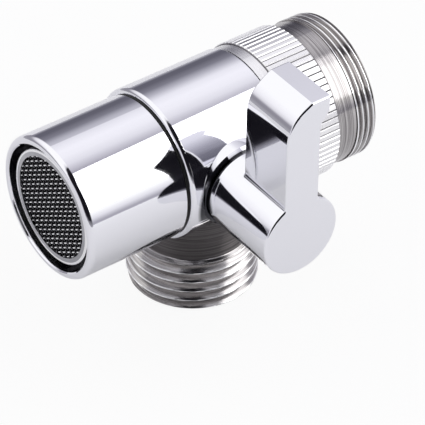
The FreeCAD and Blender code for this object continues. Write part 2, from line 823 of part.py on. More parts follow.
def aerator_sleeve():
    """The polished sleeve that screws over the spigot and carries the aerator in its mouth."""
    body = new_body("aerator_sleeve")
    turned(body, "X", [
        (sleeve_rear_x, S.m22_radius),
        (sleeve_rear_x, sleeve_radius - S.sleeve_rear_chamfer),
        (sleeve_rear_x - S.sleeve_rear_chamfer, sleeve_radius),
        (sleeve_rim_x, sleeve_radius, S.sleeve_rim_round),
        (sleeve_rim_x, sleeve_mouth_radius + S.sleeve_mouth_chamfer),
        (sleeve_rim_x + S.sleeve_mouth_chamfer, sleeve_mouth_radius),
        (ledge_x, sleeve_mouth_radius),
        (ledge_x, S.m22_radius),
    ])
    return body


def aerator_cage():
    """Moulded cage of the aerator: flange, pocket for the disc and screen, and air slots."""
    body = new_body("aerator_cage")
    pocket_x = cartridge_x - S.cage_pocket_depth
    turned(body, "X", [
        (cartridge_x, cage_pocket_radius),
        (cartridge_x, flange_radius),
        (ledge_x, flange_radius),
        (ledge_x, cage_radius),
        (nose_start_x, cage_radius),
        (nose_start_x, cage_nose_radius),
        (cage_end_x, cage_nose_radius),
        (cage_end_x, cage_bore),
        (pocket_x, cage_bore),
        (pocket_x, cage_pocket_radius),
    ])
    window = new_sketch(body, "XY_Plane")
    barrel_length = ledge_x - nose_start_x
    far_x = ledge_x - barrel_length * S.air_slot_inset_share
    near_x = far_x - barrel_length * S.air_slot_share
    half = S.air_slot_width / 2
    outline(window, [(near_x, -half), (far_x, -half), (far_x, half), (near_x, half)])
    slot = extruded(body, window, S.m22_radius, cut=True)
    repeated(body, slot, "X", S.air_slots)
    return body


def flow_disc():
    """Moulded disc with two rings of fine jets, under the inlet screen."""
    body = new_body("flow_disc")
    floor_x = cartridge_x - S.cage_pocket_depth
    radius = cage_pocket_radius - S.seat_clearance
    face_x = floor_x + S.flow_disc_thickness
    turned(body, "X", [(floor_x, 0), (floor_x, radius), (face_x, radius), (face_x, 0)])
    for orbit, count in ((S.inner_hole_orbit, S.inner_holes), (S.outer_hole_orbit, S.outer_holes)):
        sketch = new_sketch(body, "YZ_Plane", floor_x)
        circle(sketch, orbit, 0, S.flow_hole_radius)
        jet = extruded(body, sketch, S.flow_disc_thickness, cut=True)
        repeated(body, jet, "X", count)
    return body


def woven_screen(label, front, thickness, radius):
    """A disc of stainless mesh: a plain rim round as many square openings as fit in it."""
    pitch = S.mesh_pitch.value
    half = (pitch - S.mesh_wire.value) / 2
    limit = radius.value - S.screen_rim.value
    reach = int(limit / pitch)
    openings = []
    for row in range(-reach, reach + 1):
        for column in range(-reach, reach + 1):
            y, z = column * pitch, row * pitch
            if math.hypot(abs(y) + half, abs(z) + half) > limit:
                continue
            turns = ((-1, -1), (-1, 1), (1, 1), (1, -1), (-1, -1))
            square = [(y + half * across, z + half * up) for across, up in turns]
            openings.append(Part.makePolygon([FreeCAD.Vector(0, v, w) for v, w in square]))
    rim = Part.Wire(Part.makeCircle(radius.value, FreeCAD.Vector(0, 0, 0), FreeCAD.Vector(1, 0, 0)))
    face = Part.makeFace([rim] + openings, "Part::FaceMakerBullseye")
    screen = doc.addObject("Part::Feature", label)
    screen.Label = label
    screen.Shape = face.extrude(FreeCAD.Vector(thickness.value, 0, 0))
    screen.Placement = FreeCAD.Placement(
        FreeCAD.Vector(front.value, 0, S.axis_height.value), FreeCAD.Rotation())
    made.append(screen)
    return screen


def screens():
    """Three screens stacked behind the pressed ring, and one over the flow disc."""
    for place, label in enumerate(("outlet_screen", "middle_screen", "inner_screen")):
        front = screen_front_x + place * S.screen_thickness
        woven_screen(label, front, S.screen_thickness, screen_radius)
    strainer_x = cartridge_x - S.cage_pocket_depth + S.flow_disc_thickness
    strainer_thickness = S.cage_pocket_depth - S.flow_disc_thickness
    woven_screen("inlet_strainer", strainer_x, strainer_thickness, cage_pocket_radius - S.seat_clearance)


def screen_cap():
    """Pressed stainless ring round the screens: a flat lip in front and a skirt on the cage."""
    body = new_body("screen_cap")
    skirt_bore = cage_nose_radius + S.seat_clearance
    skirt_end_x = nose_start_x - S.cap_skirt_gap
    turned(body, "X", [
        (cap_front_x, cap_opening),
        (cap_front_x, cap_radius, S.cap_lip),
        (skirt_end_x, cap_radius),
        (skirt_end_x, skirt_bore),
        (screen_front_x, skirt_bore),
        (screen_front_x, cap_opening),
    ])
    return body


def small_rings():
    """Washers and seals, each lying in the seat that its neighbours leave."""
    ring("joint_gasket", "X", S.m22_radius, gasket_radius, sleeve_rear_x, barrel_front_x)
    ring("aerator_washer", "X", flange_radius - S.cartridge_washer_width, flange_radius,
         cartridge_x, spigot_end_x)
    ring("inlet_washer", "X", inlet_washer_radius - S.inlet_washer_width, inlet_washer_radius,
         neck_end_x, neck_end_x + S.inlet_washer_thickness)
    ring("thrust_washer", "Y", stem_bore, S.spool_radius - S.running_clearance,
         washer_front_y, spool_front_y - S.running_clearance)
    seal("neck_seal", "X", neck_seal_floor, swivel_neck_radius,
         seal_profile_middle(S.barrel_rear + S.neck_seal_offset))
    seal("rear_spool_seal", "Y", spool_seal_floor, S.spool_radius,
         spool_rear_y - S.spool_seal_inset - S.seal_groove_width / 2)
    seal("front_spool_seal", "Y", spool_seal_floor, S.spool_radius,
         seal_profile_middle(spool_front_y + S.spool_seal_inset))
    seal("stem_seal", "Y", stem_seal_floor, S.stem_radius,
         gland_rear_y - S.stem_seal_inset - S.stem_seal_groove_width / 2)


def check(document):
    """Stop if any object failed or any piece is not one or more valid solids."""
    document.recompute()
    for item in document.Objects:
        if {"Invalid", "Error"} & set(item.State):
            raise RuntimeError(f"{item.Name} failed: {item.State}")
    for piece in made:
        shape = piece.Shape
        if shape.isNull() or not shape.isValid() or not shape.Solids:
            raise RuntimeError(f"{piece.Label} has no valid solid")


def write_pieces():
    """Write each piece to its own file and print its size."""
    os.makedirs("parts", exist_ok=True)
    for piece in made:
        piece.Shape.exportStep(f"parts/{piece.Label}.step")
        print(f"{piece.Label:18s} solids {len(piece.Shape.Solids)}  volume {piece.Shape.Volume:9.2f}")


valve_body()
stop_pin()
swivel_collar()
collar_clip()
diverter_spool()
shutoff_pad()
gland_nut()
handle()
handle_screw()
aerator_sleeve()
aerator_cage()
flow_disc()
screens()
screen_cap()
small_rings()
check(doc)
write_pieces()
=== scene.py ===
# %% [markdown]
# # A chromed tap diverter with an aerator
# The fitting screws onto a basin spout. Water enters its knurled collar and leaves either
# through the meshed aerator or down the threaded outlet, as the side lever says. The solids
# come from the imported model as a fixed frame. Here they get their real finishes, and the
# parts that a plain solid can't show: cut threads, woven mesh and a photographer's studio.

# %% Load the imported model
import math

import bpy
from mathutils import Matrix, Vector
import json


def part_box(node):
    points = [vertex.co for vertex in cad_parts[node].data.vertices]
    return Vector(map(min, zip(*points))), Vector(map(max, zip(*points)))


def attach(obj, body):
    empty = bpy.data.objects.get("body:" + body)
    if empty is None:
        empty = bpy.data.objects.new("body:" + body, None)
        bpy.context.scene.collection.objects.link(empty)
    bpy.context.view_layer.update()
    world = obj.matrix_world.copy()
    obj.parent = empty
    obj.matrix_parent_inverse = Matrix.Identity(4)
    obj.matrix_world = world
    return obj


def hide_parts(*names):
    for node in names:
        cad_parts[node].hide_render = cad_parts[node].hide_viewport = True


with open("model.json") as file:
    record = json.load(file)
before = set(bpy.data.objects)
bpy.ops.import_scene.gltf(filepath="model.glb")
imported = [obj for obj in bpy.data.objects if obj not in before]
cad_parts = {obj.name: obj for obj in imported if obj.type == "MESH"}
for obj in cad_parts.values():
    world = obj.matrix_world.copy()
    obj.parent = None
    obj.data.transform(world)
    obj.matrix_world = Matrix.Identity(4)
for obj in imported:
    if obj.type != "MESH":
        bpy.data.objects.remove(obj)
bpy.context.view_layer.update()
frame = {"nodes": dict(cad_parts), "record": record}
MM = 0.001
AXIS_HEIGHT = 25.1 * MM

# %% [markdown]
# ## Colours and nodes
# Colours are written as the sRGB hex values that a picture editor shows. Blender's shaders
# work in linear light, so one function converts them. One more function adds a shader node
# with its settings and its links, which keeps each material below to a few readable lines.


# %% Colour and node helpers
def linear(hex_colour, alpha=1.0):
    """Turn '#RRGGBB' in sRGB into the linear colour that a shader takes."""
    parts = [int(hex_colour[i:i + 2], 16) / 255 for i in (1, 3, 5)]
    bent = [c / 12.92 if c <= 0.04045 else ((c + 0.055) / 1.055) ** 2.4 for c in parts]
    return (*bent, alpha)


def add_node(tree, kind, settings=None, **inputs):
    """Add a node. Its inputs, by name or as _0, _1, hold a value or another node's output."""
    node = tree.nodes.new(kind)
    for name, value in (settings or {}).items():
        setattr(node, name, value)
    for name, source in inputs.items():
        is_number = name[1:].isdigit()
        socket = node.inputs[int(name[1:]) if is_number else name.replace("_", " ")]
        if isinstance(source, bpy.types.NodeSocket):
            tree.links.new(source, socket)
        else:
            socket.default_value = source
    return node


def set_ramp(node, stops, interpolation="LINEAR"):
    """Give a colour ramp its stops, each (place, hex colour)."""
    ramp = node.color_ramp
    ramp.interpolation = interpolation
    while len(ramp.elements) > 1:
        ramp.elements.remove(ramp.elements[-1])
    ramp.elements[0].position = stops[0][0]
    ramp.elements[0].color = linear(stops[0][1])
    for place, colour in stops[1:]:
        ramp.elements.new(place).color = linear(colour)


print("White is", linear("#FFFFFF"), "and middle grey is", round(linear("#808080")[0], 3))

# %% [markdown]
# ## Camera
# Small products are photographed from well back with a long lens, so that near and far ends
# keep their proportions. This camera stands about half a metre away. Its place and tilt were
# fitted to the known diameters of the two threads.

# %% Camera
CAMERA_TURN, CAMERA_LIFT, CAMERA_ROLL = -37.107, 39.691, 1.087
CAMERA_DISTANCE, CAMERA_RIGHT, CAMERA_UP = 542.796 * MM, 2.918 * MM, -10.634 * MM
PICTURE_WIDTH = 425
FOCAL_PIXELS = 3521.1

turn, lift, roll = (math.radians(a) for a in (CAMERA_TURN, CAMERA_LIFT, CAMERA_ROLL))
back = Vector((math.sin(turn) * math.cos(lift), -math.cos(turn) * math.cos(lift), math.sin(lift)))
level = Vector((math.cos(turn), math.sin(turn), 0))
over = back.cross(level)
right = level * math.cos(roll) + over * math.sin(roll)
up = over * math.cos(roll) - level * math.sin(roll)
crossing = Vector((0, 0, AXIS_HEIGHT))
camera_data = bpy.data.cameras.new("camera")
camera_data.sensor_width = 36
camera_data.lens = FOCAL_PIXELS / PICTURE_WIDTH * camera_data.sensor_width
camera_data.clip_start, camera_data.clip_end = 0.01, 20
camera = bpy.data.objects.new("camera", camera_data)
bpy.context.scene.collection.objects.link(camera)
camera.matrix_world = Matrix.Translation(
    crossing + back * CAMERA_DISTANCE + right * CAMERA_RIGHT + up * CAMERA_UP
) @ Matrix((right, up, back)).transposed().to_4x4()
bpy.context.scene.camera = camera
print("Camera at", [round(c, 3) for c in camera.location], "lens", round(camera_data.lens, 1), "mm")

# %% [markdown]
# ## Studio
# Polished chrome has no colour of its own to speak of: it shows the room. A photographer
# lights it with large white panels and leaves dark gaps between them, and the gaps draw the
# crisp dark lines that say "mirror". They could be real planes around the fitting. A ramp
# wrapped round the fitting's long axis does the same with fewer parts, and its stripes lie
# straight along the barrel. There are two ramps, as the panels on the aerator's side leave a
# wide black gap high up, and those on the collar's side leave a narrow grey one. Each stop is
# an angle round the axis in degrees, where 0 is level on the far side and 90 is overhead.

# %% Panels and gaps
START_ANGLE = -60
PANELS_RIGHT = (
    (-60, "#DEDDE3"), (-46, "#F2F1F5"), (-34, "#EEEDF1"), (-22, "#D6D5DA"), (-10, "#C0BFC6"),
    (-6, "#A8A7AF"), (-2, "#7E7D87"), (2, "#605F6A"), (12, "#62616C"), (26, "#7E7D88"),
    (38, "#B5B4BE"), (50, "#E8E7EE"), (62, "#F3F2F8"), (74, "#EFEEF4"), (86, "#E0DFE6"),
    (98, "#B8B6C0"), (104, "#8C8A96"), (106, "#6E6C78"), (109, "#D6D5DC"), (113, "#FFFFFF"),
    (168, "#FFFFFF"), (176, "#E0DFE5"), (184, "#9C9AA5"), (188, "#D2D1D9"), (196, "#ECEBF0"),
    (218, "#E5E5EB"), (230, "#DCDBE3"), (242, "#CDCCD6"), (256, "#B2B0BB"), (278, "#ABAAB4"),
    (298, "#DAD9DF"),
)
PANELS_LEFT = (
    (-60, "#CECDD4"), (-50, "#DCDBE1"), (-40, "#ECEBF0"), (-30, "#C4C3CA"), (-20, "#ABAAB1"),
    (-8, "#A09FA6"), (2, "#8C8A92"), (10, "#918F98"), (18, "#DAD9DE"), (28, "#F0EFF3"),
    (42, "#FCFCFD"), (84, "#FBFBFC"), (90, "#D8D7DC"), (94, "#2A292F"), (104, "#1A191E"),
    (140, "#131217"), (168, "#17161B"), (176, "#2A292F"), (184, "#94939A"), (194, "#B8B7BE"),
    (204, "#D2D1D8"), (240, "#D0CFD7"), (258, "#CCCBD3"), (285, "#CFCED5"),
)
COLLAR_SIDE, AERATOR_SIDE = 0.42, 0.2
END_START, END_FULL = 0.88, 0.99
PANEL_STRENGTH = 1.12
print("Panels:", len(PANELS_RIGHT), "stops on the right,", len(PANELS_LEFT), "on the left")

# %% [markdown]
# The nodes turn a ray's heading into its angle round the long axis, look that angle up in
# both ramps, and mix them by how far the ray leans to the collar's side. Straight along the
# axis all the stripes would meet in a point, so a plain pale grey fades in there. To the
# camera itself the same world is plain white.

# %% Studio world
world = bpy.data.worlds.new("studio")
bpy.context.scene.world = world
world.use_nodes = True
tree = world.node_tree
tree.nodes.clear()
heading = add_node(tree, "ShaderNodeTexCoord")
split = add_node(tree, "ShaderNodeSeparateXYZ", Vector=heading.outputs["Generated"])
around = add_node(
    tree, "ShaderNodeMath", {"operation": "ARCTAN2"}, _0=split.outputs["Z"], _1=split.outputs["Y"])
share = add_node(
    tree, "ShaderNodeMath", {"operation": "MULTIPLY_ADD"},
    _0=around.outputs[0], _1=1 / math.tau, _2=-START_ANGLE / 360 + 1)
wrapped = add_node(tree, "ShaderNodeMath", {"operation": "FRACT"}, _0=share.outputs[0])
ramps = []
for stops in (PANELS_RIGHT, PANELS_LEFT):
    ramp = add_node(tree, "ShaderNodeValToRGB", Fac=wrapped.outputs[0])
    set_ramp(ramp, [((angle - START_ANGLE) / 360, colour) for angle, colour in stops])
    ramps.append(ramp)
side = add_node(
    tree, "ShaderNodeMapRange", {"interpolation_type": "SMOOTHSTEP"},
    Value=split.outputs["X"], From_Min=COLLAR_SIDE, From_Max=AERATOR_SIDE)
panels = add_node(
    tree, "ShaderNodeMix", {"data_type": "RGBA"},
    Factor=side.outputs[0], _6=ramps[0].outputs[0], _7=ramps[1].outputs[0])
end_on = add_node(tree, "ShaderNodeMath", {"operation": "ABSOLUTE"}, _0=split.outputs["X"])
pole = add_node(
    tree, "ShaderNodeMapRange", {"interpolation_type": "SMOOTHSTEP"},
    Value=end_on.outputs[0], From_Min=END_START, From_Max=END_FULL)
softened = add_node(
    tree, "ShaderNodeMix", {"data_type": "RGBA"},
    Factor=pole.outputs[0], _6=panels.outputs[2], _7=linear("#D9D8DF"))
studio_light = add_node(
    tree, "ShaderNodeBackground", Color=softened.outputs[2], Strength=PANEL_STRENGTH)
white = add_node(tree, "ShaderNodeBackground", Color=(1, 1, 1, 1), Strength=1.0)
ray = add_node(tree, "ShaderNodeLightPath")
choice = add_node(
    tree, "ShaderNodeMixShader", _0=ray.outputs["Is Camera Ray"],
    _1=studio_light.outputs[0], _2=white.outputs[0])
add_node(tree, "ShaderNodeOutputWorld", Surface=choice.outputs[0])
print("Studio has", len(tree.nodes), "nodes")

# %% [markdown]
# ## Floor
# The floor is a pale sheet that the fitting stands on. To the camera it is almost white, with
# only the soft shadow left. A glow could do that alone, but it would hide the shadow. So the
# sheet is part glow and part matt paper: mostly glow to the camera, a little in mirrors, as
# the chrome shows the same sheet, and none to the light that falls on other things.

# %% Floor
FLOOR_RADIUS = 0.3
FLOOR_EDGES = 96
FLOOR_DROP = 0.02 * MM
SEEN_WHITE = 0.92
MIRRORED_WHITE = 0.12
bpy.ops.mesh.primitive_circle_add(vertices=FLOOR_EDGES, radius=FLOOR_RADIUS, fill_type="NGON")
floor = bpy.context.object
floor.name = "floor"
paper = bpy.data.materials.new("white_paper")
paper.use_nodes = True
tree = paper.node_tree
tree.nodes.clear()
matt = add_node(tree, "ShaderNodeBsdfDiffuse", Color=linear("#F4F4F6"))
glow = add_node(tree, "ShaderNodeEmission", Color=(1, 1, 1, 1), Strength=1.0)
ray = add_node(tree, "ShaderNodeLightPath")
seen = add_node(
    tree, "ShaderNodeMath", {"operation": "MULTIPLY"}, _0=ray.outputs["Is Camera Ray"], _1=SEEN_WHITE)
mostly = add_node(
    tree, "ShaderNodeMath", {"operation": "MULTIPLY_ADD"},
    _0=ray.outputs["Is Glossy Ray"], _1=MIRRORED_WHITE, _2=seen.outputs[0])
sheet = add_node(
    tree, "ShaderNodeMixShader", _0=mostly.outputs[0], _1=matt.outputs[0], _2=glow.outputs[0])
add_node(tree, "ShaderNodeOutputMaterial", Surface=sheet.outputs[0])
floor.data.materials.append(paper)
floor.location.z = -FLOOR_DROP
print("Floor of radius", FLOOR_RADIUS, "m")

# %% [markdown]
# ## Key lamp
# The wrapped panels already light the metal evenly. One large soft box adds what they can't:
# a highlight on the right of the collar and the outlet, and a soft shadow on the floor. It is
# 0.7 m wide, since in a mirror a small lamp would show as a hard white spot.


# %% Key lamp
def add_lamp(name, place, size, watts):
    """A square soft box that faces the middle of the fitting."""
    data = bpy.data.lights.new(name, "AREA")
    data.size = size
    data.energy = watts
    lamp = bpy.data.objects.new(name, data)
    bpy.context.scene.collection.objects.link(lamp)
    lamp.location = place
    lamp.rotation_euler = (crossing - Vector(place)).to_track_quat("-Z", "Y").to_euler()
    return lamp


KEY_PLACE, KEY_SIZE, KEY_WATTS = (0.4, -0.42, 0.5), 0.7, 2.6
key = add_lamp("key_box", KEY_PLACE, KEY_SIZE, KEY_WATTS)
print("Soft box", key.data.size, "m wide, of", round(key.data.energy, 1), "W")

# %% [markdown]
# ## Finishes
# Each material is named for the real thing: what it is made of and how its surface was made.
# All of them are made of nodes, so they have no edges or seams and need no unwrapping. Two
# helpers come first. One starts a material. The other measures how far a point lies from an
# axis of the fitting, which tells the crest of a turned piece from its grooves.


# %% Material helpers
def new_material(name):
    """A node material with one Principled shader; returns the material, its tree and the shader."""
    material = bpy.data.materials.new(name)
    material.use_nodes = True
    tree = material.node_tree
    tree.nodes.clear()
    shader = tree.nodes.new("ShaderNodeBsdfPrincipled")
    add_node(tree, "ShaderNodeOutputMaterial", Surface=shader.outputs[0])
    return material, tree, shader


def distance_from_axis(tree, along, drop=0.0):
    """Nodes that measure a point's distance in metres from an axis of the fitting, or below it."""
    where = add_node(tree, "ShaderNodeTexCoord")
    flat = [0 if letter == along else 1 for letter in "XYZ"]
    lift = (0, 0, 0 if along == "Z" else drop - AXIS_HEIGHT)
    centred = add_node(
        tree, "ShaderNodeMapping", Vector=where.outputs["Object"], Location=lift, Scale=flat)
    length = add_node(tree, "ShaderNodeVectorMath", {"operation": "LENGTH"}, _0=centred.outputs[0])
    return length.outputs[1]


# %% [markdown]
# ## Polished chrome
# The barrel, the sleeve and the lever are brass, polished to a mirror and plated. Their own
# colour is a cold, very light grey. The roughness is close to nothing, and a slow shallow
# bump bends the reflections a little, as hand buffing does. The boss under the lever's hub
# is the exception: its sides and its underside get painted shade, a dark plate colour that
# stands in for the dark they reflect, and that painted crescent sets the lever off from the barrel.


# %% Polished chrome plate
CHROME = "#F2F2F6"
# Painted shade: the plate darkens within 7.5 to 8.2 mm of a line 1.2 mm under the lever's axis.
SHADE_DROP, SHADE_NEAR, SHADE_FAR = 1.2 * MM, 7.5 * MM, 8.2 * MM


def polished_chrome(name, shade=None):
    """Bright chrome over polished brass. A shade is painted shade on the boss's sides and underside.
    """
    material, tree, shader = new_material(name)
    shader.inputs["Base Color"].default_value = linear(CHROME)
    shader.inputs["Metallic"].default_value = 1.0
    if shade:
        shade_fade = add_node(
            tree, "ShaderNodeMapRange", Value=distance_from_axis(tree, "Y", SHADE_DROP),
            From_Min=SHADE_NEAR, From_Max=SHADE_FAR)
        painted_shade_colour = add_node(
            tree, "ShaderNodeMix", {"data_type": "RGBA"},
            Factor=shade_fade.outputs[0], _6=linear(shade), _7=linear(CHROME))
        tree.links.new(painted_shade_colour.outputs[2], shader.inputs["Base Color"])
    where = add_node(tree, "ShaderNodeTexCoord")
    waves = add_node(
        tree, "ShaderNodeTexNoise", Vector=where.outputs["Object"], Scale=160, Detail=1.0)
    bump = add_node(
        tree, "ShaderNodeBump", Height=waves.outputs["Fac"], Strength=0.05, Distance=0.2 * MM)
    tree.links.new(bump.outputs[0], shader.inputs["Normal"])
    haze = add_node(
        tree, "ShaderNodeTexNoise", Vector=where.outputs["Object"], Scale=900, Detail=3.0)
    rough = add_node(
        tree, "ShaderNodeMapRange", Value=haze.outputs["Fac"], To_Min=0.03, To_Max=0.07)
    tree.links.new(rough.outputs[0], shader.inputs["Roughness"])
    return material


chrome = polished_chrome("polished_chrome_plate")
# Painted shade on the boss and the gland nut: a dark plate colour, #3A3A3F.
shaded_boss_plate = polished_chrome("painted_shade_boss_plate", "#3A3A3F")
print("Chrome:", chrome.name, "and", shaded_boss_plate.name)

# %% [markdown]
# ## Turned nickel
# The collar and the outlet are nickel plate over brass straight from the lathe. The tool leaves
# rings about 0.1 mm apart. They spread each highlight across the turning, so the metal looks
# softer and a little warmer than the chrome. The knurl's lands are bright, with painted shade
# in the grooves between them. Both threads have a painted highlight along their crests, and
# the plain neck above the outlet is painted dark, as painted shade for the dark it reflects.


# %% Turned nickel plate
TOOL_MARK = 0.12 * MM
RING_WANDER = 60.0


def turned_nickel(name, dark, light, roughness, along, groove, stretch=0.0, radii=None, hollow=None):
    """Plate over lathe work. Between radii in mm, hollow to crest, it pales: painted shade and
    highlight.
    """
    material, tree, shader = new_material(name)
    shader.inputs["Metallic"].default_value = 1.0
    scale = [1 / TOOL_MARK if letter == along else RING_WANDER for letter in "XYZ"]
    where = add_node(tree, "ShaderNodeTexCoord")
    lathe = add_node(tree, "ShaderNodeMapping", Vector=where.outputs["Object"], Scale=scale)
    rings = add_node(tree, "ShaderNodeTexNoise", Vector=lathe.outputs[0], Scale=1.0, Detail=2.0)
    tint = add_node(tree, "ShaderNodeValToRGB", Fac=rings.outputs["Fac"])
    set_ramp(tint, [(0.3, dark), (0.7, light)])
    colour = tint.outputs[0]
    # Painted light: colour pales from hollow to crest, as painted shade in grooves and a painted
    # highlight on crests.
    if radii:
        crest = add_node(
            tree, "ShaderNodeMapRange", Value=distance_from_axis(tree, along),
            From_Min=radii[0] * MM, From_Max=radii[1] * MM)
        painted_light_mix = add_node(
            tree, "ShaderNodeMix", {"data_type": "RGBA"}, Factor=crest.outputs[0],
            _6=linear(hollow) if hollow else colour, _7=colour if hollow else linear("#FFFFFF"))
        colour = painted_light_mix.outputs[2]
    tree.links.new(colour, shader.inputs["Base Color"])
    rough = add_node(
        tree, "ShaderNodeMapRange", Value=rings.outputs["Fac"],
        To_Min=roughness * 0.7, To_Max=roughness * 1.3)
    tree.links.new(rough.outputs[0], shader.inputs["Roughness"])
    bump = add_node(
        tree, "ShaderNodeBump", Height=rings.outputs["Fac"], Strength=0.5, Distance=groove)
    tree.links.new(bump.outputs[0], shader.inputs["Normal"])
    if stretch:
        shader.inputs["Anisotropic"].default_value = stretch
        shader.inputs["Anisotropic Rotation"].default_value = 0.25
        ring = add_node(tree, "ShaderNodeTangent", {"direction_type": "RADIAL", "axis": along})
        tree.links.new(ring.outputs[0], shader.inputs["Tangent"])
    return material


# %% [markdown]
# The collar and the outlet take six finishes from that one function. Each has a dark and a
# light tone of its rings, a roughness and the depth of the tool's groove. The radii are where
# a groove turns into a crest: 12.3 to 12.42 mm on the knurl, 10.3 to 10.45 mm on the outlet's
# thread and 11.9 to 11.98 mm on the collar's.

# %% Nickel of the collar and the outlet
# Painted shade in the knurl's grooves, from the hollow colour #6E6C70.
burnished = turned_nickel(
    "burnished_nickel_plate", "#F2F1F1", "#FCFCFC", 0.28, "X", 0.002 * MM,
    radii=(12.3, 12.42), hollow="#6E6C70")
lead_nickel = turned_nickel(
    "burnished_lead_nickel", "#F2F1F1", "#FCFCFC", 0.3, "X", 0.002 * MM)
satin = turned_nickel("satin_nickel_plate", "#787475", "#CFCCCB", 0.18, "X", 0.01 * MM, stretch=0.6)
# Painted highlight: the colour turns white along the outlet thread's crests.
outlet_nickel = turned_nickel(
    "turned_outlet_nickel", "#858282", "#D2CFCE", 0.19, "Z", 0.008 * MM, radii=(10.3, 10.45))
# Painted shade: the neck's dark colour stands in for the dark it reflects.
shaded_neck_plate = turned_nickel(
    "painted_shade_neck_plate", "#4A4747", "#7E7A7A", 0.45, "Z", 0.003 * MM, stretch=0.95)
# Painted highlight: the colour turns white along the M24 thread's crests.
cut_nickel = turned_nickel(
    "cut_thread_nickel", "#757273", "#D6D3D2", 0.09, "X", 0.008 * MM, radii=(11.9, 11.98))
print("Nickel:", ", ".join(m.name for m in (burnished, lead_nickel, satin, cut_nickel)))
print("Outlet:", outlet_nickel.name, "and", shaded_neck_plate.name)


# %% [markdown]
# ## The other finishes
# The pieces inside need only simple finishes: turned brass for the spool, stainless steel for
# the clip, the stop pin, the grub screw and the strainer, moulded acetal for the cage and
# moulded rubber for the seals. They differ in colour, gloss and the size of their grain. The
# metals have a fine grain and a clear highlight, the acetal is satin, and the rubber is almost
# matt. One function makes them all.


# %% Plain finishes
def plain(name, colour, metallic, roughness, grain, depth):
    """A simple finish: a colour, a gloss and a fine moulded or drawn grain."""
    material, tree, shader = new_material(name)
    shader.inputs["Base Color"].default_value = linear(colour)
    shader.inputs["Metallic"].default_value = metallic
    where = add_node(tree, "ShaderNodeTexCoord")
    noise = add_node(
        tree, "ShaderNodeTexNoise", Vector=where.outputs["Object"], Scale=grain, Detail=3.0)
    rough = add_node(
        tree, "ShaderNodeMapRange", Value=noise.outputs["Fac"],
        To_Min=roughness * 0.8, To_Max=roughness * 1.2)
    tree.links.new(rough.outputs[0], shader.inputs["Roughness"])
    bump = add_node(
        tree, "ShaderNodeBump", Height=noise.outputs["Fac"], Strength=0.3, Distance=depth)
    tree.links.new(bump.outputs[0], shader.inputs["Normal"])
    return material


# %% [markdown]
# Every solid now gets the finish of its slot. Two solids differ from theirs. The thin gland
# nut takes the boss's painted shade. The cap that holds the screen is a pressed ring: dull
# on its flat, with a painted highlight along the last 0.4 mm of its edge.

# %% A finish for every node
finishes = {
    "polished_chrome": chrome,
    "satin_nickel": satin,
    "turned_brass": plain("turned_brass", "#D9B36A", 1.0, 0.22, 2500, 0.01 * MM),
    "stainless_steel": plain("stainless_steel", "#E4E4E7", 1.0, 0.2, 2500, 0.01 * MM),
    "black_acetal": plain("black_acetal", "#0C0C0D", 0.0, 0.45, 1800, 0.02 * MM),
    "white_acetal": plain("white_acetal", "#E6E5E0", 0.0, 0.45, 1800, 0.02 * MM),
    "black_rubber": plain("black_rubber", "#121212", 0.0, 0.6, 1500, 0.03 * MM),
}
low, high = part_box("screen_cap")
cap_radius = (high.y - low.y) / 2 / MM
CAP_EDGE, CAP_FADE = 0.4, 0.1
# Painted highlight: the cap's colour turns white along its outer 0.4 mm.
cap_steel = turned_nickel(
    "pressed_cap_steel", "#A4A4A8", "#C4C4C8", 0.2, "X", 0.003 * MM,
    radii=(cap_radius - CAP_EDGE - CAP_FADE, cap_radius - CAP_EDGE))
special = {"gland_nut": shaded_boss_plate, "screen_cap": cap_steel}
for part in frame["record"]["subparts"]:
    node = frame["nodes"][part["node"]]
    node.data.materials.clear()
    node.data.materials.append(special.get(part["node"], finishes[part["material_slot"]]))

# %% [markdown]
# ## Cut threads
# The solids carry their threads as plain cylinders at the crest. Here the real grooves are
# cut. One way is a boolean with a swept tooth, which leaves slivers where the tooth runs out.
# Instead the plain faces are left out of a copy, and a fine grid takes their place: at each
# turn and each height the grid's radius is worked out from the thread's own profile, so the
# grooves climb as one true helix and fade at both ends. The profile also gives the exact
# slope at each point, and so the normals that a mirror finish needs.


# %% Copy of a solid without some faces
def copied_faces(node, is_dropped):
    """Points, faces and exact normals of a solid, without the faces that a test drops."""
    mesh = node.data
    points = [v.co.copy() for v in mesh.vertices]
    faces, normals = [], []
    for face in mesh.polygons:
        if is_dropped([points[i] for i in face.vertices]):
            continue
        faces.append(tuple(face.vertices))
        normals.extend(Vector(mesh.corner_normals[i].vector) for i in face.loop_indices)
    return points, faces, normals


# %% Easing
FLANK_EASE = 0.1
NUDGE = 0.01


def smooth_step(low, high, value):
    """0 below low, 1 above high, with soft shoulders between."""
    share = min(max((value - low) / (high - low), 0.0), 1.0)
    return share * share * (3 - 2 * share)


def flank(low, high, value):
    """A straight thread flank from 0 to 1, eased a little at each end."""
    share = min(max((value - low) / (high - low), 0.0), 1.0)
    return (1 - FLANK_EASE) * share + FLANK_EASE * share * share * (3 - 2 * share)


# %% Thread as a grid of radii
def thread_grid(stations, turns, radius_at, place):
    """Points, faces and normals of a tube whose radius changes with angle and station."""
    points, normals, faces = [], [], []
    for s in stations:
        for i in range(turns):
            a = math.tau * i / turns
            r = radius_at(a, s)
            slope = (radius_at(a, s + NUDGE) - radius_at(a, s - NUDGE)) / (2 * NUDGE)
            twist = (radius_at(a + NUDGE, s) - radius_at(a - NUDGE, s)) / (2 * NUDGE * r)
            cos, sin = math.cos(a), math.sin(a)
            out = Vector((cos + twist * sin, sin - twist * cos, -slope))
            points.append(place(r * cos, r * sin, s))
            normals.append((place(*out) - place(0, 0, 0)).normalized())
    for row in range(len(stations) - 1):
        low, high = row * turns, (row + 1) * turns
        for i in range(turns):
            j = (i + 1) % turns
            faces.append((low + i, low + j, high + j, high + i))
    return points, faces, normals


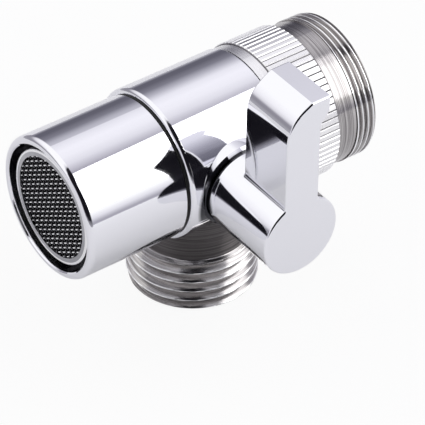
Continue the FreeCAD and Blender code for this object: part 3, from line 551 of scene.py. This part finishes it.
# %% [markdown]
# A copied face keeps the finish of its place on the real turning, so each joined piece has a
# list of materials and each face a number in it. On the body these are the polished barrel,
# the threaded end, the plain neck above it and the boss's sides. On the collar they are the
# plain band, the knurl, the threads and the smooth lead in front of the knurl.

# %% Which material a face takes
NECK_INNER, NECK_OUTER, NECK_TOP = 9.25, 9.97, 18.5
BOSS_ROOT, BOSS_REACH = -9.0, 8.6
LEAD_RADIUS, KNURL_DEPTH, KNURL_START, KNURL_END = 12.2, 0.4, 10.89, 19.25
OUTLET_CREST, OUTLET_THREAD_END = 10.4775, 9.4
NEAR, FLAT_FACE = 0.02, 0.1


def body_material(corners, middle):
    """0 polished barrel, 1 threaded end, 2 plain neck, 3 sides of the boss."""
    spread = [math.hypot(c.x, c.y) / MM for c in corners]
    on_neck = min(spread) > NECK_INNER and max(spread) < NECK_OUTER
    if on_neck and OUTLET_THREAD_END - NEAR < middle.z < NECK_TOP:
        return 2
    if middle.y < BOSS_ROOT and math.hypot(middle.x, middle.z - AXIS_HEIGHT / MM) < BOSS_REACH:
        return 3
    return 1 if middle.z < OUTLET_THREAD_END and max(spread) < OUTLET_CREST + FLAT_FACE else 0


def collar_material(corners, middle):
    """0 plain band and inside, 1 knurl, 3 lead; the thread grids have number 2."""
    from_barrel_axis = math.hypot(middle.y, middle.z - AXIS_HEIGHT / MM)
    if from_barrel_axis < LEAD_RADIUS - KNURL_DEPTH or middle.x > KNURL_END:
        return 0
    return 3 if middle.x < KNURL_START else 1


# %% Joined piece
def joined_piece(name, node_name, body, copied, grids, materials, number_of):
    """One mesh of a solid's kept faces and its threads; each face has a material number."""
    points, faces, normals = copied[0][:], copied[1][:], copied[2][:]
    numbers = []
    for face in faces:
        corners = [points[i] for i in face]
        numbers.append(number_of(corners, sum(corners, Vector()) / len(corners) / MM))
    for (grid_points, grid_faces, grid_normals), number in grids:
        start = len(points)
        points += grid_points
        faces += [tuple(start + i for i in face) for face in grid_faces]
        normals += [grid_normals[i] for face in grid_faces for i in face]
        numbers += [number] * len(grid_faces)
    used = sorted({i for face in faces for i in face})
    order = {old: new for new, old in enumerate(used)}
    mesh = bpy.data.meshes.new(name)
    mesh.from_pydata([points[i] for i in used], [], [tuple(order[i] for i in f) for f in faces])
    for material in materials:
        mesh.materials.append(material)
    mesh.polygons.foreach_set("material_index", numbers)
    mesh.polygons.foreach_set("use_smooth", [True] * len(faces))
    mesh.normals_split_custom_set(normals)
    piece = bpy.data.objects.new(name, mesh)
    bpy.context.scene.collection.objects.link(piece)
    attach(piece, body)
    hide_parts(node_name)
    print(name, "has", len(faces), "faces")
    return piece


# %% [markdown]
# The outlet is a G1/2 pipe thread: 20.955 mm over the crests, 14 turns to the inch, which is a
# pitch of 1.814 mm, and a right-handed tooth of 55 degrees. The tooth drawn here is about ten
# degrees more open than that, as its flank takes up 0.07 to 0.9 of the way from a crest's line
# to a root's.

# %% Threaded outlet
OUTLET_PITCH = 1.814
OUTLET_ROOT = 9.3155
OUTLET_CREST_FLAT, OUTLET_ROOT_FLAT = 0.07, 0.9
OUTLET_END_RADIUS, OUTLET_CHAMFER = 9.8975, 0.45
OUTLET_SLOPE_START, OUTLET_RUN_IN = 8.819, 0.5
OUTLET_ROWS, OUTLET_TURNS = 104, 180


def outlet_radius(angle, height):
    """Radius of the outlet in mm, from the end face up to the plain neck."""
    phase = (height / OUTLET_PITCH - angle / math.tau) % 1.0
    off_crest = abs(phase - 0.5) * 2
    depth = (OUTLET_CREST - OUTLET_ROOT) * flank(OUTLET_CREST_FLAT, OUTLET_ROOT_FLAT, off_crest)
    outside = OUTLET_CREST
    if height < OUTLET_CHAMFER:
        share = max(height, 0) / OUTLET_CHAMFER
        outside = OUTLET_END_RADIUS + (OUTLET_CREST - OUTLET_END_RADIUS) * share
    if height > OUTLET_SLOPE_START:
        risen = min(height, OUTLET_THREAD_END) - OUTLET_SLOPE_START
        share = risen / (OUTLET_THREAD_END - OUTLET_SLOPE_START)
        outside = OUTLET_CREST + (OUTLET_ROOT - OUTLET_CREST) * share
    cut = OUTLET_CREST - depth * smooth_step(0.0, OUTLET_RUN_IN, height)
    return max(min(outside, cut), OUTLET_ROOT)


def is_outlet_thread(corners):
    """True for the plain crest, its chamfer and its slope to the neck."""
    for c in corners:
        r, z = math.hypot(c.x, c.y) / MM, c.z / MM
        if not (-NEAR / 2 < z < OUTLET_THREAD_END + NEAR / 2 and r > OUTLET_ROOT - NEAR):
            return False
    return max(c.z for c in corners) - min(c.z for c in corners) > FLAT_FACE * MM


outlet_rows = [OUTLET_THREAD_END * i / OUTLET_ROWS for i in range(OUTLET_ROWS + 1)]
outlet_grid = thread_grid(
    outlet_rows, OUTLET_TURNS, outlet_radius, lambda x, y, s: Vector((x, y, s)) * MM)
threaded_body = joined_piece(
    "threaded_body", "valve_body", "valve",
    copied_faces(frame["nodes"]["valve_body"], is_outlet_thread), [(outlet_grid, 1)],
    [chrome, outlet_nickel, shaded_neck_plate, shaded_boss_plate], body_material)

# %% [markdown]
# The collar has an M24 x 1 thread outside, for spouts cut inside, and an M22 x 1 thread in its
# mouth, for spouts cut outside. Both are metric 60 degree threads with a pitch of 1 mm, and
# again the teeth are drawn a little more open than that.

# %% Thread outside the collar
COLLAR_PITCH = 1.0
M24_CREST, M24_ROOT = 12.0, 11.4
M24_START, COLLAR_END, COLLAR_CHAMFER = 22.8, 26.5, 0.3
M24_CREST_FLAT, M24_ROOT_FLAT, M24_RUN_OUT, M24_RUN_IN = 0.12, 0.9, 0.5, 0.3
M24_ROWS, M24_TURNS = 74, 180


def m24_radius(angle, along):
    """Radius in mm of the outside thread at the collar's end."""
    phase = (along / COLLAR_PITCH - angle / math.tau) % 1.0
    off_crest = abs(phase - 0.5) * 2
    depth = (M24_CREST - M24_ROOT) * flank(M24_CREST_FLAT, M24_ROOT_FLAT, off_crest)
    depth *= smooth_step(M24_START, M24_START + M24_RUN_OUT, along)
    depth *= smooth_step(COLLAR_END, COLLAR_END - M24_RUN_IN, along)
    outside = M24_CREST - max(along - (COLLAR_END - COLLAR_CHAMFER), 0)
    return min(outside, M24_CREST - depth)


# %% Thread inside the mouth
M22_WALL, M22_CREST, M22_START = 11.0, 10.5, 17.7
M22_CREST_FLAT, M22_ROOT_FLAT, M22_RUN = 0.1, 0.9, 0.6
M22_ROWS, M22_TURNS = 132, 120


def m22_radius(angle, along):
    """Radius in mm of the thread inside the mouth; its crests stand inwards."""
    phase = (along / COLLAR_PITCH - angle / math.tau) % 1.0
    off_crest = abs(phase - 0.5) * 2
    height = (M22_WALL - M22_CREST) * smooth_step(M22_ROOT_FLAT, M22_CREST_FLAT, off_crest)
    inner_end = smooth_step(M22_START, M22_START + M22_RUN, along)
    outer_end = smooth_step(COLLAR_END, COLLAR_END - M22_RUN, along)
    return M22_WALL - height * inner_end * outer_end


# %% Threaded collar
CHAMFERED = 11.6


def is_collar_thread(corners):
    """True for the plain faces of both threads."""
    spots = [(c.x / MM, math.hypot(c.y, c.z - AXIS_HEIGHT) / MM) for c in corners]
    if max(x for x, r in spots) - min(x for x, r in spots) < FLAT_FACE:
        return False
    outer = all(x > M24_START - NEAR / 2 and r > CHAMFERED for x, r in spots)
    inner = all(x > M22_START - NEAR / 2 and abs(r - M22_WALL) < NEAR * 1.5 for x, r in spots)
    return outer or inner


def along_barrel(y, z, x):
    """A place given across and along the barrel, as a point."""
    return Vector((x * MM, y * MM, z * MM + AXIS_HEIGHT))


def rows(start, count):
    """Stations from a thread's start to the collar's end."""
    return [start + (COLLAR_END - start) * i / count for i in range(count + 1)]


m24_grid = thread_grid(rows(M24_START, M24_ROWS), M24_TURNS, m24_radius, along_barrel)
m22_points, m22_faces, m22_normals = thread_grid(
    rows(M22_START, M22_ROWS), M22_TURNS, m22_radius, along_barrel)
m22_grid = (m22_points, [face[::-1] for face in m22_faces], [-n for n in m22_normals])
threaded_collar = joined_piece(
    "threaded_collar", "swivel_collar", "collar",
    copied_faces(frame["nodes"]["swivel_collar"], is_collar_thread), [(m24_grid, 2), (m22_grid, 2)],
    [satin, burnished, cut_nickel, lead_nickel], collar_material)

# %% [markdown]
# ## Woven screens
# The aerator's screens are plain-weave wire cloth. Seen from the front, black gaps alternate
# with bright wire crowns, and no flat pattern gives that sparkle as the view turns. So each
# wire is a real tube that bends over one wire and under the next, as on a loom. The wires lie
# 0.74 mm apart, so that their crowns make the rows of points that show on the real one.

# %% One wire of the cloth
WEAVE_PITCH = 0.74
WIRE_RADIUS = 0.135
WIRE_SIDES = 6
STEPS_PER_PITCH = 4


def wire_points(half, steps, offset, phase, is_warp):
    """Rings of points round one wire that bends over and under those it crosses, in mm."""
    points = []
    side = Vector((0, 0, 1) if is_warp else (0, 1, 0))
    for i in range(-steps, steps + 1):
        s = half * i / steps
        bend = math.pi * (s / WEAVE_PITCH + phase)
        lift = WIRE_RADIUS * math.cos(bend)
        lean = -math.pi / WEAVE_PITCH * WIRE_RADIUS * math.sin(bend)
        tangent = Vector((lean, 1, 0) if is_warp else (lean, 0, 1)).normalized()
        middle = Vector((lift, s, offset) if is_warp else (lift, offset, s))
        over = tangent.cross(side)
        for k in range(WIRE_SIDES):
            a = math.tau * k / WIRE_SIDES
            points.append(middle + (side * math.cos(a) + over * math.sin(a)) * WIRE_RADIUS)
    return points


def wire_faces(start, rings):
    """Faces of one wire whose points begin at start, with both ends closed."""
    faces = []
    for i in range(rings - 1):
        low, high = start + i * WIRE_SIDES, start + (i + 1) * WIRE_SIDES
        for k in range(WIRE_SIDES):
            j = (k + 1) % WIRE_SIDES
            faces.append((low + k, low + j, high + j, high + k))
    last = start + (rings - 1) * WIRE_SIDES
    faces.append(tuple(start + k for k in reversed(range(WIRE_SIDES))))
    faces.append(tuple(last + k for k in range(WIRE_SIDES)))
    return faces


# %% Wire cloth
def wire_cloth(name, node_name, centre_x, radius, turn_degrees, materials):
    """A disc of plain-weave cloth; the materials are those of its warp and its weft."""
    points, faces, ways = [], [], []
    count = int(radius / WEAVE_PITCH)
    turned = Matrix.Rotation(math.radians(turn_degrees), 3, "X")
    centre = Vector((centre_x * MM, 0, AXIS_HEIGHT))
    for way in (0, 1):
        for n in range(-count, count + 1):
            offset = n * WEAVE_PITCH
            half = math.sqrt(max(radius ** 2 - offset ** 2, 0.0))
            steps = max(int(half / WEAVE_PITCH * STEPS_PER_PITCH), 2)
            start = len(points)
            points += [
                turned @ spot * MM + centre
                for spot in wire_points(half, steps, offset, n + way, way == 0)]
            faces += wire_faces(start, 2 * steps + 1)
            ways += [way] * (len(faces) - len(ways))
    mesh = bpy.data.meshes.new(name)
    mesh.from_pydata(points, [], faces)
    mesh.polygons.foreach_set("use_smooth", [len(f) == 4 for f in faces])
    for material in materials:
        mesh.materials.append(material)
    mesh.polygons.foreach_set("material_index", ways)
    cloth = bpy.data.objects.new(name, mesh)
    bpy.context.scene.collection.objects.link(cloth)
    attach(cloth, "valve")
    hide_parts(node_name)
    print(name, "has", len(faces), "faces")
    return cloth


# %% [markdown]
# The wire is drawn stainless steel. Its colour follows the height within the cloth: a painted
# highlight on the crowns and painted shade in the hollows. Seen at a slant, one set of wires
# catches most of the light, so the weft's crowns are painted white and the warp's grey, which
# leaves separate bright points. The two screens behind get painted shade and show as a black ground.

# %% Screen wire
def screen_wire(name, centre_x, hollow, crown):
    """Drawn stainless wire: a painted highlight where it crowns, painted shade in the hollows."""
    material, tree, shader = new_material(name)
    shader.inputs["Metallic"].default_value = 1.0
    where = add_node(tree, "ShaderNodeTexCoord")
    place = add_node(tree, "ShaderNodeSeparateXYZ", Vector=where.outputs["Object"])
    height = add_node(
        tree, "ShaderNodeMapRange", Value=place.outputs["X"],
        From_Min=centre_x * MM, From_Max=(centre_x - 2 * WIRE_RADIUS) * MM)
    # Painted light: dark in the hollows, bright on the crowns, by height within the cloth.
    tint = add_node(tree, "ShaderNodeValToRGB", Fac=height.outputs[0])
    set_ramp(tint, [(0.38, hollow), (0.6, crown)])
    tree.links.new(tint.outputs[0], shader.inputs["Base Color"])
    drawn = add_node(
        tree, "ShaderNodeTexNoise", Vector=where.outputs["Object"], Scale=4000, Detail=2.0)
    rough = add_node(
        tree, "ShaderNodeMapRange", Value=drawn.outputs["Fac"], To_Min=0.15, To_Max=0.3)
    tree.links.new(rough.outputs[0], shader.inputs["Roughness"])
    return material


# %% Three screens
# Painted shade in the hollows and on the back screens; painted highlights on the front crowns.
SCREEN_PAINTED_SHADE, WARP_PAINTED_HIGHLIGHT, WEFT_PAINTED_HIGHLIGHT, BACK_SCREEN_PAINTED_SHADE = "#0E0E10", "#6C6C70", "#FFFFFF", "#1C1C1E"
SCREEN_PLAY = 0.05
low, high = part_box("outlet_screen")
screen_radius = (high.y - low.y) / 2 / MM - SCREEN_PLAY
for name, node_name, turn_degrees in (
        ("woven_outlet_screen", "outlet_screen", 56),
        ("woven_middle_screen", "middle_screen", 20),
        ("woven_inner_screen", "inner_screen", 65)):
    low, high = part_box(node_name)
    middle_x = (low.x + high.x) / 2 / MM
    in_front = node_name == "outlet_screen"
    warp = screen_wire(name + "_warp", middle_x, SCREEN_PAINTED_SHADE, WARP_PAINTED_HIGHLIGHT if in_front else BACK_SCREEN_PAINTED_SHADE)
    weft = screen_wire(name + "_weft", middle_x, SCREEN_PAINTED_SHADE, WEFT_PAINTED_HIGHLIGHT if in_front else BACK_SCREEN_PAINTED_SHADE)
    wire_cloth(name, node_name, middle_x, screen_radius, turn_degrees, (warp, weft))

# %% [markdown]
# ## Finish
# The Standard view shows each colour as it was written.

# %% Colour view
bpy.context.scene.view_settings.view_transform = "Standard"
